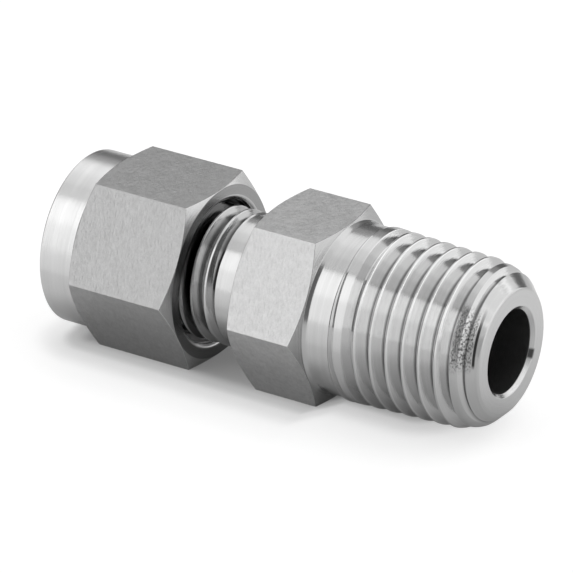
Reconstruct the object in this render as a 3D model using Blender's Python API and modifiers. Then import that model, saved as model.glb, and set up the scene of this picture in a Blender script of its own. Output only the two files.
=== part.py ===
"""Male tube connector: a two-ferrule compression fitting with a taper pipe thread.

The fitting lies on the flats of its two hexes, with its axis along X and the pipe end
towards +X. The origin is on the floor under the middle of its length. Every station is a
distance along the axis, measured towards +X from the tube-end face of the fitting body.
"""

import math

import bmesh
import bpy
from mathutils import Matrix, Vector

MM = 0.001
INCH = 25.4 * MM

# tube that the fitting takes
TUBE_DIAMETER = 0.25 * INCH
TUBE_HOLE_CLEARANCE = 0.05 * MM

# hex bar that the body and the nut are turned from
HEX_SIDES = 6
HEX_ACROSS_FLATS = 0.5625 * INCH
HEX_CHAMFER_ANGLE = math.radians(25)
HEX_FACE_DROP = 0.03 * MM

# fitting body, tube end
TUBE_THREAD_DIAMETER = 0.435 * INCH
TUBE_THREAD_PITCH = INCH / 20
TUBE_THREAD_LENGTH = 7.2 * MM
TUBE_THREAD_CREST_STATION = 5.22 * MM
NECK_DIAMETER = 10.6 * MM
NECK_LENGTH = 2.55 * MM
SEAT_RIM_WALL = 0.35 * MM
SEAT_ANGLE = math.radians(20)
TUBE_STOP_DEPTH = 8.3 * MM
FLOW_BORE = 4.8 * MM

# fitting body, hex and pipe end
BODY_HEX_LENGTH = 6.65 * MM
SHANK_DIAMETER = 13.8 * MM
SHANK_LENGTH = 2.25 * MM
SHANK_FILLET_LENGTH = 0.35 * MM
SHANK_FILLET_RISE = 0.14 * MM
PIPE_THREAD_DIAMETER = 13.36 * MM
PIPE_THREAD_PITCH = INCH / 18
PIPE_THREAD_LENGTH = 12.45 * MM
PIPE_TAPER_SLOPE = 1 / 32
PIPE_CREST_FROM_END = 1.57 * MM
PIPE_FACE_DIAMETER = 10.14 * MM
PIPE_CHAMFER_LENGTH = 1.17 * MM
PIPE_LEAD_LENGTH = 2.95 * MM
PIPE_BORE = 6.8 * MM
PIPE_BORE_DEPTH = 17.2 * MM
PIPE_BORE_BEVEL = 0.3 * MM
DRILL_POINT_ANGLE = math.radians(59)

# nut
NUT_LENGTH = 0.5 * INCH
NUT_COLLAR_LENGTH = 3.1 * MM
NUT_COLLAR_EDGE = 0.15 * MM
NUT_WALL = 2.75 * MM
NUT_SHOULDER_ANGLE = math.radians(45)
FERRULE_CHAMBER_LENGTH = 2.2 * MM
MOUTH_DIAMETER = 11.7 * MM
MOUTH_DEPTH = 1.0 * MM
MOUTH_BEVEL = 0.35 * MM
NUT_BACKED_OFF_TURNS = 0.83

# ferrules
FERRULE_RIM_WIDTH = 0.05 * MM
FERRULE_GAP = 0.12 * MM
FRONT_FERRULE_RING_LENGTH = 1.35 * MM
FERRULE_NOSE_WALL = 0.22 * MM
RECESS_DEPTH = 0.85 * MM
BACK_FLANGE_LENGTH = 1.3 * MM
BACK_FLANGE_STEP_LENGTH = 0.3375 * MM
BACK_NOSE_LENGTH = 1.4 * MM
BACK_NOSE_WALL = 0.55 * MM
NOSE_BEVEL = 0.4 * MM

# thread form, as shares of the pitch
FLANK_SLOPE = math.tan(math.radians(30))
STRAIGHT_DEPTH_SHARE = 0.6134
STRAIGHT_CREST_SHARE = 0.125
NUT_DEPTH_SHARE = 0.52
PIPE_DEPTH_SHARE = 0.74
PIPE_CREST_SHARE = 0.10
CUTTER_LIP_SHARE = 0.06

# turns in which a groove rises out of the metal
TUBE_RUN_OUT_TURNS = 1
PIPE_RUN_OUT_TURNS = 2

# room round the body's thread inside the nut
NUT_FLANK_CLEARANCE = 0.05 * MM
NUT_THREAD_CLEARANCE = 0.08 * MM
NUT_RELIEF_CLEARANCE = 0.16 * MM

# facets round a full turn, and how they are joined and shaded
SEGMENTS = 36
MERGE_DISTANCE = 0.01 * MM
SHARP_EDGE_ANGLE = math.radians(25)

# surfaces
BRIGHT_COLOUR = (0.62, 0.61, 0.60)
BRIGHT_ROUGHNESS = 0.22
SATIN_COLOUR = (0.55, 0.55, 0.54)
SATIN_ROUGHNESS = 0.38

# sizes that follow from those above
TUBE_HOLE_RADIUS = TUBE_DIAMETER / 2 + TUBE_HOLE_CLEARANCE
AXIS_HEIGHT = HEX_ACROSS_FLATS / 2
HEX_CORNER_RADIUS = HEX_ACROSS_FLATS / 2 / math.cos(math.pi / HEX_SIDES)
HEX_FACE_RADIUS = HEX_ACROSS_FLATS / 2 - HEX_FACE_DROP
HEX_CHAMFER_LENGTH = (HEX_CORNER_RADIUS - HEX_FACE_RADIUS) * math.tan(HEX_CHAMFER_ANGLE)
TUBE_CREST_RADIUS = TUBE_THREAD_DIAMETER / 2
TUBE_ROOT_RADIUS = TUBE_CREST_RADIUS - STRAIGHT_DEPTH_SHARE * TUBE_THREAD_PITCH
SEAT_MOUTH_RADIUS = TUBE_ROOT_RADIUS - SEAT_RIM_WALL
NECK_STATION = TUBE_THREAD_LENGTH
HEX_STATION = NECK_STATION + NECK_LENGTH
SHANK_STATION = HEX_STATION + BODY_HEX_LENGTH
PIPE_THREAD_STATION = SHANK_STATION + SHANK_LENGTH
PIPE_END_STATION = PIPE_THREAD_STATION + PIPE_THREAD_LENGTH
FERRULE_RADIUS = SEAT_MOUTH_RADIUS + FERRULE_RIM_WIDTH
FRONT_NOSE_RADIUS = TUBE_HOLE_RADIUS + FERRULE_NOSE_WALL
BACK_NOSE_RADIUS = TUBE_HOLE_RADIUS + BACK_NOSE_WALL

# places of the ferrules and the nut, from the seat in the body back to the nut
SEATED_RING_STATION = -FERRULE_RIM_WIDTH / math.tan(SEAT_ANGLE)
NUT_SETBACK = NUT_BACKED_OFF_TURNS * TUBE_THREAD_PITCH + FERRULE_GAP
FRONT_FERRULE_STATION = SEATED_RING_STATION - NUT_SETBACK - FRONT_FERRULE_RING_LENGTH
NOSE_REACH = TUBE_HOLE_RADIUS + RECESS_DEPTH - BACK_NOSE_RADIUS + NOSE_BEVEL
BACK_FERRULE_LENGTH = BACK_FLANGE_LENGTH + BACK_NOSE_LENGTH
BACK_FERRULE_STATION = FRONT_FERRULE_STATION + NOSE_REACH - FERRULE_GAP - BACK_FERRULE_LENGTH
BACK_BEVEL = FERRULE_RADIUS - BACK_NOSE_RADIUS
SHOULDER_START = BACK_NOSE_RADIUS - TUBE_HOLE_RADIUS
NUT_STATION = (
    BACK_FERRULE_STATION
    - FERRULE_GAP
    - SHOULDER_START / math.tan(NUT_SHOULDER_ANGLE)
    - NUT_WALL
)
MIDDLE_STATION = (NUT_STATION + PIPE_END_STATION) / 2


def clear_scene():
    for item in list(bpy.data.objects):
        bpy.data.objects.remove(item)


def new_collection(name):
    collection = bpy.data.collections.new(name)
    bpy.context.scene.collection.children.link(collection)
    return collection


def steel(name, colour, roughness):
    material = bpy.data.materials.new(name)
    material.use_nodes = True
    shader = material.node_tree.nodes["Principled BSDF"]
    shader.inputs["Base Color"].default_value = (*colour, 1)
    shader.inputs["Roughness"].default_value = roughness
    shader.inputs["Metallic"].default_value = 1
    return material


def place_on_axis(item, station):
    """Turns an object's own Z axis to the fitting's axis, with its zero at a station."""
    item.rotation_euler = (0, math.radians(90), 0)
    item.location = (station - MIDDLE_STATION, 0, AXIS_HEIGHT)


def as_cutter(item):
    item.hide_render = True
    item.display_type = "WIRE"


def turned(name, outside, inside, collection):
    """A ring turned about Z from two lists of (station, radius), both from low to high.

    The profile starts half a facet round, so that the corners of the hexes and the edges
    of the thread cutters meet the middles of its facets.
    """
    loop = list(reversed(outside)) + list(inside)
    mesh = bpy.data.meshes.new(name)
    half_facet = math.pi / SEGMENTS
    points = [
        (radius * math.cos(half_facet), radius * math.sin(half_facet), station)
        for station, radius in loop
    ]
    edges = [(i, (i + 1) % len(loop)) for i in range(len(loop))]
    mesh.from_pydata(points, edges, [])
    item = bpy.data.objects.new(name, mesh)
    collection.objects.link(item)
    screw = item.modifiers.new("lathe", "SCREW")
    screw.steps = SEGMENTS
    screw.render_steps = SEGMENTS
    screw.merge_threshold = MERGE_DISTANCE
    return item


def cut(item, tool, operation="DIFFERENCE"):
    boolean = item.modifiers.new(tool.name, "BOOLEAN")
    boolean.operation = operation
    boolean.solver = "EXACT"
    boolean.object = tool


def hex_bar(name, low, high, collection):
    """Bar stock with two flats level, longer than the piece that is turned from it."""
    margin = HEX_ACROSS_FLATS
    length = high - low + 2 * margin
    mesh = bpy.data.meshes.new(name)
    shape = bmesh.new()
    bmesh.ops.create_cone(
        shape,
        cap_ends=True,
        segments=HEX_SIDES,
        radius1=HEX_CORNER_RADIUS,
        radius2=HEX_CORNER_RADIUS,
        depth=length,
        matrix=Matrix.Translation((0, 0, (low + high) / 2)),
    )
    shape.to_mesh(mesh)
    shape.free()
    item = bpy.data.objects.new(name, mesh)
    collection.objects.link(item)
    as_cutter(item)
    return item


def groove_section(root_radius, crest_radius, width_at_crest, pitch):
    """A thread groove as (offset along the axis, radius), a little proud of the crest."""
    rim_radius = crest_radius + CUTTER_LIP_SHARE * pitch
    half_root = width_at_crest / 2 - (crest_radius - root_radius) * FLANK_SLOPE
    half_rim = width_at_crest / 2 + (rim_radius - crest_radius) * FLANK_SLOPE
    return [
        (-half_root, root_radius),
        (half_root, root_radius),
        (half_rim, rim_radius),
        (-half_rim, rim_radius),
    ]


def thread_cutter(name, section, pitch, centre, low, high, widen, collection):
    """Sweeps a section along a right-hand helix from the station low to the station high.

    The section is centred on the station centre where the helix passes the -Y side, and
    widen gives how much further out each point lies at its station.
    """
    first_step = math.floor((low - centre) / pitch * SEGMENTS)
    last_step = math.ceil((high - centre) / pitch * SEGMENTS)
    step_angle = 2 * math.pi / SEGMENTS
    step_length = pitch / SEGMENTS
    start_angle = math.radians(270) + first_step * step_angle
    outward = Vector((math.cos(start_angle), math.sin(start_angle), 0))
    start = Vector((0, 0, centre + first_step * step_length))
    shape = bmesh.new()
    corners = [
        shape.verts.new(start + outward * radius + Vector((0, 0, offset)))
        for offset, radius in section
    ]
    face = shape.faces.new(corners)
    steps = last_step - first_step
    bmesh.ops.spin(
        shape,
        geom=[face],
        axis=(0, 0, 1),
        dvec=(0, 0, step_length),
        angle=step_angle * steps,
        steps=steps,
    )
    for vert in shape.verts:
        radius = math.hypot(vert.co.x, vert.co.y)
        share = (radius + widen(vert.co.z)) / radius
        vert.co.x *= share
        vert.co.y *= share
    bmesh.ops.recalc_face_normals(shape, faces=shape.faces)
    mesh = bpy.data.meshes.new(name)
    shape.to_mesh(mesh)
    shape.free()
    item = bpy.data.objects.new(name, mesh)
    collection.objects.link(item)
    as_cutter(item)
    return item


def tube_end_outline():
    """Outside of the threaded tube end and the neck."""
    lead = TUBE_CREST_RADIUS - TUBE_ROOT_RADIUS
    neck_step = abs(TUBE_CREST_RADIUS - NECK_DIAMETER / 2)
    return [
        (0, TUBE_ROOT_RADIUS),
        (lead, TUBE_CREST_RADIUS),
        (NECK_STATION - neck_step, TUBE_CREST_RADIUS),
        (NECK_STATION, NECK_DIAMETER / 2),
        (HEX_STATION, NECK_DIAMETER / 2),
    ]


def hex_outline(low, high):
    """A turned band that trims both ends of a hex to chamfered corners."""
    chamfer = HEX_CHAMFER_LENGTH
    overshoot = HEX_FACE_DROP
    proud = HEX_CORNER_RADIUS + overshoot
    slope = math.tan(HEX_CHAMFER_ANGLE)
    return [
        (low, HEX_FACE_RADIUS),
        (low + chamfer + overshoot * slope, proud),
        (high - chamfer - overshoot * slope, proud),
        (high, HEX_FACE_RADIUS),
    ]


def pipe_crest_radius(station):
    return PIPE_THREAD_DIAMETER / 2 + (PIPE_END_STATION - station) * PIPE_TAPER_SLOPE


def pipe_end_outline():
    """Outside of the shank and the tapered blank of the pipe thread.

    The blank falls off more and more towards its end: first as a gentle lead, which lowers
    the first crests, and then as a 45 degree chamfer down to the end face.
    """
    shank_radius = SHANK_DIAMETER / 2
    large_radius = pipe_crest_radius(PIPE_THREAD_STATION)
    lead_station = PIPE_END_STATION - PIPE_LEAD_LENGTH
    face_radius = PIPE_FACE_DIAMETER / 2
    return [
        (SHANK_STATION, shank_radius + SHANK_FILLET_RISE),
        (SHANK_STATION + SHANK_FILLET_LENGTH, shank_radius),
        (PIPE_THREAD_STATION, shank_radius),
        (PIPE_THREAD_STATION + large_radius - shank_radius, large_radius),
        (lead_station, pipe_crest_radius(lead_station)),
        (PIPE_END_STATION - PIPE_CHAMFER_LENGTH, face_radius + PIPE_CHAMFER_LENGTH),
        (PIPE_END_STATION, face_radius),
    ]


def body_bore():
    """Ferrule seat, tube socket, flow bore and the wider bore of the pipe end."""
    seat_length = (SEAT_MOUTH_RADIUS - TUBE_HOLE_RADIUS) / math.tan(SEAT_ANGLE)
    drilled = PIPE_END_STATION - PIPE_BORE_DEPTH
    drill_point = (PIPE_BORE - FLOW_BORE) / 2 / math.tan(DRILL_POINT_ANGLE)
    return [
        (0, SEAT_MOUTH_RADIUS),
        (seat_length, TUBE_HOLE_RADIUS),
        (TUBE_STOP_DEPTH, TUBE_HOLE_RADIUS),
        (TUBE_STOP_DEPTH, FLOW_BORE / 2),
        (drilled - drill_point, FLOW_BORE / 2),
        (drilled, PIPE_BORE / 2),
        (PIPE_END_STATION - PIPE_BORE_BEVEL, PIPE_BORE / 2),
        (PIPE_END_STATION, PIPE_BORE / 2 + PIPE_BORE_BEVEL),
    ]


def tube_thread_cutter(collection):
    """Cuts the straight thread, and rises out of the metal where the neck begins."""
    pitch = TUBE_THREAD_PITCH
    depth = TUBE_CREST_RADIUS - TUBE_ROOT_RADIUS
    section = groove_section(
        TUBE_ROOT_RADIUS,
        TUBE_CREST_RADIUS,
        pitch * (1 - STRAIGHT_CREST_SHARE),
        pitch,
    )
    run_out = TUBE_RUN_OUT_TURNS * pitch
    run_out_end = NECK_STATION + pitch / 2
    run_out_start = run_out_end - run_out

    def widen(station):
        return depth * max(0, station - run_out_start) / run_out

    return thread_cutter(
        "tube_thread_cutter",
        section,
        pitch,
        TUBE_THREAD_CREST_STATION + pitch / 2,
        -pitch,
        run_out_end + pitch,
        widen,
        collection,
    )


def pipe_thread_cutter(collection):
    """Cuts the taper thread, and rises out of the metal at the shank."""
    pitch = PIPE_THREAD_PITCH
    crest_radius = PIPE_THREAD_DIAMETER / 2
    depth = PIPE_DEPTH_SHARE * pitch
    section = groove_section(
        crest_radius - depth, crest_radius, pitch * (1 - PIPE_CREST_SHARE), pitch
    )
    run_out = PIPE_RUN_OUT_TURNS * pitch
    run_out_end = PIPE_THREAD_STATION - pitch / 2
    run_out_start = run_out_end + run_out

    def widen(station):
        taper = (PIPE_END_STATION - station) * PIPE_TAPER_SLOPE
        return taper + depth * max(0, run_out_start - station) / run_out

    return thread_cutter(
        "pipe_thread_cutter",
        section,
        pitch,
        PIPE_END_STATION - PIPE_CREST_FROM_END - pitch / 2,
        run_out_end - pitch,
        PIPE_END_STATION + pitch,
        widen,
        collection,
    )


def make_fitting_body(parts, cutters):
    outside = (
        tube_end_outline()
        + hex_outline(HEX_STATION, SHANK_STATION)
        + pipe_end_outline()
    )
    body = turned("fitting_body", outside, body_bore(), parts)
    bar = hex_bar("body_bar", 0, PIPE_END_STATION, cutters)
    tube_thread = tube_thread_cutter(cutters)
    pipe_thread = pipe_thread_cutter(cutters)
    cut(body, bar, "INTERSECT")
    cut(body, tube_thread)
    cut(body, pipe_thread)
    for item in (body, bar, tube_thread, pipe_thread):
        place_on_axis(item, 0)
    return body


def make_nut(parts, cutters):
    pitch = TUBE_THREAD_PITCH
    collar_radius = HEX_FACE_RADIUS
    chamber_radius = FERRULE_RADIUS + FERRULE_GAP
    minor_radius = TUBE_CREST_RADIUS - NUT_DEPTH_SHARE * pitch
    relief_radius = TUBE_CREST_RADIUS + NUT_RELIEF_CLEARANCE
    shoulder = (chamber_radius - TUBE_HOLE_RADIUS) / math.tan(NUT_SHOULDER_ANGLE)
    relief = NUT_WALL + shoulder + FERRULE_CHAMBER_LENGTH
    relief_step = relief_radius - chamber_radius
    thread_step = relief_radius - minor_radius
    thread_start = relief + relief_step + pitch
    mouth = NUT_LENGTH - MOUTH_DEPTH
    mouth_radius = MOUTH_DIAMETER / 2
    outside = [
        (0, collar_radius - NUT_COLLAR_EDGE),
        (NUT_COLLAR_EDGE, collar_radius),
    ]
    outside += hex_outline(NUT_COLLAR_LENGTH, NUT_LENGTH)
    inside = [
        (0, TUBE_HOLE_RADIUS),
        (NUT_WALL, TUBE_HOLE_RADIUS),
        (NUT_WALL + shoulder, chamber_radius),
        (relief, chamber_radius),
        (relief + relief_step, relief_radius),
        (thread_start, relief_radius),
        (thread_start + thread_step, minor_radius),
        (mouth - (mouth_radius - minor_radius), minor_radius),
        (mouth, mouth_radius),
        (NUT_LENGTH - MOUTH_BEVEL, mouth_radius),
        (NUT_LENGTH, mouth_radius + MOUTH_BEVEL),
    ]
    nut = turned("nut", outside, inside, parts)
    bar = hex_bar("nut_bar", 0, NUT_LENGTH, cutters)
    tap = nut_thread_cutter(relief + relief_step + pitch / 2, cutters)
    cut(nut, bar, "INTERSECT")
    cut(nut, tap)
    for item in (nut, bar, tap):
        place_on_axis(item, NUT_STATION)
    return nut


def nut_thread_cutter(start, collection):
    """The body's own thread ridge, larger all round by the running clearance."""
    pitch = TUBE_THREAD_PITCH
    ridge_radius = TUBE_CREST_RADIUS + NUT_THREAD_CLEARANCE
    inner_radius = TUBE_CREST_RADIUS - (NUT_DEPTH_SHARE + CUTTER_LIP_SHARE) * pitch
    half_crest = STRAIGHT_CREST_SHARE * pitch / 2 + NUT_FLANK_CLEARANCE
    half_top = half_crest - NUT_THREAD_CLEARANCE * FLANK_SLOPE
    half_foot = half_crest + (TUBE_CREST_RADIUS - inner_radius) * FLANK_SLOPE
    section = [
        (-half_foot, inner_radius),
        (half_foot, inner_radius),
        (half_top, ridge_radius),
        (-half_top, ridge_radius),
    ]
    return thread_cutter(
        "nut_thread_cutter",
        section,
        pitch,
        TUBE_THREAD_CREST_STATION - NUT_STATION,
        start,
        NUT_LENGTH,
        lambda station: 0,
        collection,
    )


def make_front_ferrule(parts):
    cone = (FERRULE_RADIUS - FRONT_NOSE_RADIUS) / math.tan(SEAT_ANGLE)
    length = FRONT_FERRULE_RING_LENGTH + cone
    outside = [
        (0, FERRULE_RADIUS),
        (FRONT_FERRULE_RING_LENGTH, FERRULE_RADIUS),
        (length, FRONT_NOSE_RADIUS),
    ]
    inside = [
        (0, TUBE_HOLE_RADIUS + RECESS_DEPTH),
        (RECESS_DEPTH, TUBE_HOLE_RADIUS),
        (length, TUBE_HOLE_RADIUS),
    ]
    ferrule = turned("front_ferrule", outside, inside, parts)
    place_on_axis(ferrule, FRONT_FERRULE_STATION)
    return ferrule


def make_back_ferrule(parts):
    outside = [
        (0, BACK_NOSE_RADIUS),
        (BACK_BEVEL, FERRULE_RADIUS),
        (BACK_FLANGE_LENGTH, FERRULE_RADIUS),
        (BACK_FLANGE_LENGTH + BACK_FLANGE_STEP_LENGTH, BACK_NOSE_RADIUS),
        (BACK_FERRULE_LENGTH - NOSE_BEVEL, BACK_NOSE_RADIUS),
        (BACK_FERRULE_LENGTH, BACK_NOSE_RADIUS - NOSE_BEVEL),
    ]
    inside = [
        (0, TUBE_HOLE_RADIUS),
        (BACK_FERRULE_LENGTH, TUBE_HOLE_RADIUS),
    ]
    ferrule = turned("back_ferrule", outside, inside, parts)
    place_on_axis(ferrule, BACK_FERRULE_STATION)
    return ferrule


def shade_round(item, material):
    item.data.materials.append(material)
    item.data.shade_smooth()
    item.data.set_sharp_from_angle(angle=SHARP_EDGE_ANGLE)


def build():
    clear_scene()
    parts = new_collection("male_tube_connector")
    cutters = new_collection("cutters")
    bright_steel = steel("bright_steel", BRIGHT_COLOUR, BRIGHT_ROUGHNESS)
    satin_steel = steel("satin_steel", SATIN_COLOUR, SATIN_ROUGHNESS)
    shade_round(make_fitting_body(parts, cutters), satin_steel)
    shade_round(make_nut(parts, cutters), satin_steel)
    shade_round(make_front_ferrule(parts), bright_steel)
    shade_round(make_back_ferrule(parts), bright_steel)


build()
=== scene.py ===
"""Looks for a male tube connector: fine threads, soft edges, machined steel and studio light.

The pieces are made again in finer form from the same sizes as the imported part. A station is a
distance along the axis, measured towards +X from the tube-end face of the fitting body, and an
angle round the axis is measured from the top towards -Y.
"""

import math

import bmesh
import bpy
import numpy as np
from mathutils import Matrix, Vector


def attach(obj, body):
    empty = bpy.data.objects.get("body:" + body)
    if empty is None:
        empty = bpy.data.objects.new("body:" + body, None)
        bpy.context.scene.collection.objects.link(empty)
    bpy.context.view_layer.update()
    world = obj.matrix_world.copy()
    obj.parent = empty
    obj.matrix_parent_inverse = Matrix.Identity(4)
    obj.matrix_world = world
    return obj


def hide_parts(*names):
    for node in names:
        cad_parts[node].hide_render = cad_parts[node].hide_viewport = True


MM = 0.001
INCH = 25.4 * MM

# hex bar
HEX_ACROSS_FLATS = 0.5625 * INCH
HEX_CHAMFER_ANGLE = math.radians(25)
HEX_FACE_DROP = 0.03 * MM
HEX_CORNER_ROUND = 0.06 * MM

# fitting body, tube end
TUBE_HOLE_RADIUS = 0.125 * INCH + 0.05 * MM
TUBE_CREST_RADIUS = 0.2175 * INCH
TUBE_PITCH = INCH / 20
TUBE_CREST_STATION = 5.22 * MM
NECK_STATION = 7.2 * MM
NECK_RADIUS = 5.3 * MM
SEAT_RIM_WALL = 0.35 * MM
SEAT_ANGLE = math.radians(20)
TUBE_STOP_DEPTH = 8.3 * MM
FLOW_BORE_RADIUS = 2.4 * MM

# fitting body, hex and pipe end
HEX_STATION = 9.75 * MM
SHANK_STATION = 16.4 * MM
SHANK_RADIUS = 6.9 * MM
SHANK_FILLET_LENGTH = 0.35 * MM
SHANK_FILLET_RISE = 0.14 * MM
PIPE_THREAD_STATION = 18.65 * MM
PIPE_END_STATION = 31.1 * MM
PIPE_CREST_RADIUS = 6.68 * MM
PIPE_PITCH = INCH / 18
PIPE_TAPER_SLOPE = 1 / 32
PIPE_CREST_FROM_END = 1.57 * MM
PIPE_FACE_RADIUS = 5.07 * MM
PIPE_CHAMFER_LENGTH = 1.17 * MM
PIPE_LEAD_LENGTH = 2.95 * MM
PIPE_BORE_RADIUS = 3.4 * MM
PIPE_BORE_DEPTH = 17.2 * MM
PIPE_BORE_BEVEL = 0.3 * MM
DRILL_POINT_ANGLE = math.radians(59)

# nut
NUT_LENGTH = 0.5 * INCH
NUT_COLLAR_LENGTH = 3.1 * MM
NUT_COLLAR_EDGE = 0.15 * MM
NUT_WALL = 2.75 * MM
FERRULE_CHAMBER_LENGTH = 2.2 * MM
MOUTH_RADIUS = 5.85 * MM
MOUTH_DEPTH = 1.0 * MM
MOUTH_BEVEL = 0.35 * MM
MOUTH_RIM = 0.2 * MM
NUT_BACKED_OFF_TURNS = 0.83
NUT_FLANK_CLEARANCE = 0.05 * MM
NUT_THREAD_CLEARANCE = 0.08 * MM
NUT_RELIEF_CLEARANCE = 0.16 * MM

# ferrules
FERRULE_RIM_WIDTH = 0.05 * MM
FERRULE_GAP = 0.12 * MM
FRONT_FERRULE_RING_LENGTH = 1.35 * MM
FERRULE_NOSE_WALL = 0.22 * MM
RECESS_DEPTH = 0.85 * MM
BACK_FLANGE_LENGTH = 1.3 * MM
BACK_FLANGE_STEP_LENGTH = 0.3375 * MM
BACK_NOSE_LENGTH = 1.4 * MM
BACK_NOSE_WALL = 0.55 * MM
NOSE_BEVEL = 0.4 * MM

# thread form, as shares of the pitch
FLANK_SLOPE = math.tan(math.radians(30))
STRAIGHT_DEPTH_SHARE = 0.6134
STRAIGHT_CREST_SHARE = 0.125
NUT_DEPTH_SHARE = 0.52
PIPE_DEPTH_SHARE = 0.74
PIPE_CREST_SHARE = 0.10
CUTTER_LIP_SHARE = 0.06
CREST_BREAK = 0.025 * MM

# how far back a corner is rounded
FINE_EDGE = 0.04 * MM
HEX_EDGE = 0.04 * MM
SHANK_EDGE = 3 * FINE_EDGE
PIPE_LEAD_EDGE = 3 * FINE_EDGE
PIPE_CHAMFER_EDGE = 6 * FINE_EDGE
PIPE_FACE_EDGE = 4 * FINE_EDGE
NUT_MOUTH_EDGE = 3 * FINE_EDGE
LARGEST_EDGE_SHARE = 0.45

# run-out of the pipe thread at the shank
PIPE_RUN_OUT_TURNS = 2

# fineness of the meshes
COLUMNS = 120
EDGE_STEPS = 2
LEAST_LENGTH = 1e-9
WELD_DISTANCE = 0.0002 * MM
SHARP_EDGE_ANGLE = math.radians(38)
LARGE_FACE_WEIGHT = 80

# sides of the hex, and half of the angle that each takes up, seen from the axis
HEX_SIDES = 6
HALF_SIDE_ANGLE = math.pi / HEX_SIDES

# zones of a piece, which are its material slots
ZONE_COUNT = 7
FLAT, TURNED, THREAD, BORE, TUBE_THREAD, PIPE_END, CHAMFER = range(ZONE_COUNT)
NUT_FACE = TUBE_THREAD
NUT_RIM = PIPE_END

# marks, each between a fade in and a fade out: the torn turn that the tool left, lines of painted
# shade and highlight, and a patch of painted dark reflection; angles in degrees round the axis,
# and places in millimetres along it from the middle of the fitting. Those on a helix are taken
# where it passes the top, and the painted dark reflection on the bevel has one fade along and one
# off the axis
TORN_ANGLES = ((32, 48), (86, 78))
TORN_HELIX = ((17.45, 17.55), (18.90, 18.80))
# a line of painted shade where the thread's groove steps out on the chamfer
END_STEP_SHADE_ANGLES = ((30, 50), (82, 78))
END_STEP_SHADE_HELIX = ((18.88, 18.92), (19.08, 19.04))
# a line of painted shade and a line of painted highlight where the thread runs out at the shank
RUN_OUT_ANGLES = ((34, 46), (77, 73))
GROOVE_SHADE_ALONG = ((7.15, 7.21), (7.41, 7.35))
LIP_HIGHLIGHT_ALONG = ((7.40, 7.46), (7.60, 7.54))
# a patch of painted dark reflection on the bevel of the bore
BEVEL_REFLECTION_ANGLES = ((-123, -120), (-108, -111))
BEVEL_REFLECTION_ALONG = (19.2, 19.3)
BEVEL_REFLECTION_OFF_AXIS = (3.95, 3.75)

# rings of painted shade on the straight thread at the mouth of the nut, with the same fades
NUT_MOUTH_SHADE_RINGS = (
    ((-7.81, -7.75), (-7.35, -7.40)),
    ((-7.26, -7.20), (-6.67, -6.72)),
)

# how far the painted highlight of a crest and the painted shade of a root reach, in millimetres
CREST_HIGHLIGHT_FADE = (0.10, 0.02)
ROOT_SHADE_FADE = (0.22, 0.04)

# how much further up its flanks the painted shade of the straight thread's roots reaches
TUBE_ROOT_SHADE_RISE = 0.2 * MM

# tones of the torn turn and of the painted shade and highlights, from black at 0 to white at 1,
# and how much of the steel they cover
# painted shade of the run-out groove, painted highlight of its lip and painted dark reflection on
# the bevel
PAINTED_LIGHT_TONES = {"Groove Shade": 0.02, "Lip Highlight": 0.90, "Painted Shade": 0.10}
# painted shade in the roots of the threads
ROOT_SHADE_TONE = 0.12
ROOT_SHADE_COVER = 0.6
TORN_TONE = 0.07
TORN_COVER = 0.85
# painted shade at the mouth of the nut
NUT_MOUTH_SHADE_TONE = 0.03
NUT_MOUTH_SHADE_COVER = 0.85
# the torn turn, and the line of painted shade on the chamfer
END_TORN_AND_SHADE_TONE = 0.05
END_TORN_COVER = 0.8
# painted highlight on the crests of the threads
CREST_HIGHLIGHT_GAIN = 1.2
BRIGHTEST_CREST_HIGHLIGHT = 0.85

# how far a steel varies: its tone as a share of itself, and its roughness
FLAT_TONE_VARIES = 0.14
TURNED_TONE_VARIES = 0.05
THREAD_TONE_VARIES = 0.06
ROUGHNESS_VARIES = 0.03
THREAD_ROUGHNESS_VARIES = 0.04

# depths of the grain
FLAT_GRAIN_DEPTH = 0.02 * MM
COARSE_RING_DEPTH = 0.006 * MM
THREAD_RING_DEPTH = 0.004 * MM
FINE_RING_DEPTH = 0.003 * MM
TORN_DEPTH_RATIO = 8.0

# the part of a noise that is spread out from 0 to 1
HEIGHT_SPREAD = (0.25, 0.75)
TONE_SPREAD = (0.3, 0.7)
CLOUD_SPREAD = (0.35, 0.65)
CHIP_SPREAD = (0.49, 0.56)

# rings on a face for each ring along the axis, and how far chips are drawn out round it
FACE_RING_SHARE = 1.7
CHIPS_ROUND_AXIS = 3.0

# the least distance off the axis, in millimetres, so that nothing is divided by nought
LEAST_OFF_AXIS = 0.01

# the floor, and the white that it gains away from the fitting, for the lens and in the metal; its
# glow fades close to the fitting, which paints shade round it on top of the real shadow
FLOOR_SIZE = 3.0
FLOOR_TONE = 0.54
FLOOR_ROUGHNESS = 0.9
TUBE_END_REACH = -17.0 * MM
PIPE_END_REACH = 11.5 * MM
HEX_FOOT = 3.4 * MM
HEX_FOOT_END = 5.0 * MM
HEX_FOOT_FADE = 1.0 * MM
SEEN_REACH = 40 * MM
SEEN_WHITE = (
    (0.0, 0.12),
    (0.04, 0.30),
    (0.075, 0.50),
    (0.135, 0.66),
    (0.25, 0.68),
    (1.00, 0.62),
)
MIRRORED_REACH = 300 * MM
MIRRORED_WHITE = ((0.008, 0.02), (0.03, 0.27), (0.10, 0.45), (0.25, 0.48), (1.0, 0.60))

# where the white in the metal is dimmer: far behind the fitting, and past its shank
DIM_BEHIND = (25 * MM, 60 * MM)
DIM_PAST_SHANK = (0.0, 10 * MM)
FULL_IN_FRONT = (0.0, 5 * MM)
DIMMED_SHARE = 0.5

# the light that comes evenly from all sides
ROOM_LIGHT = 0.15

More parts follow.
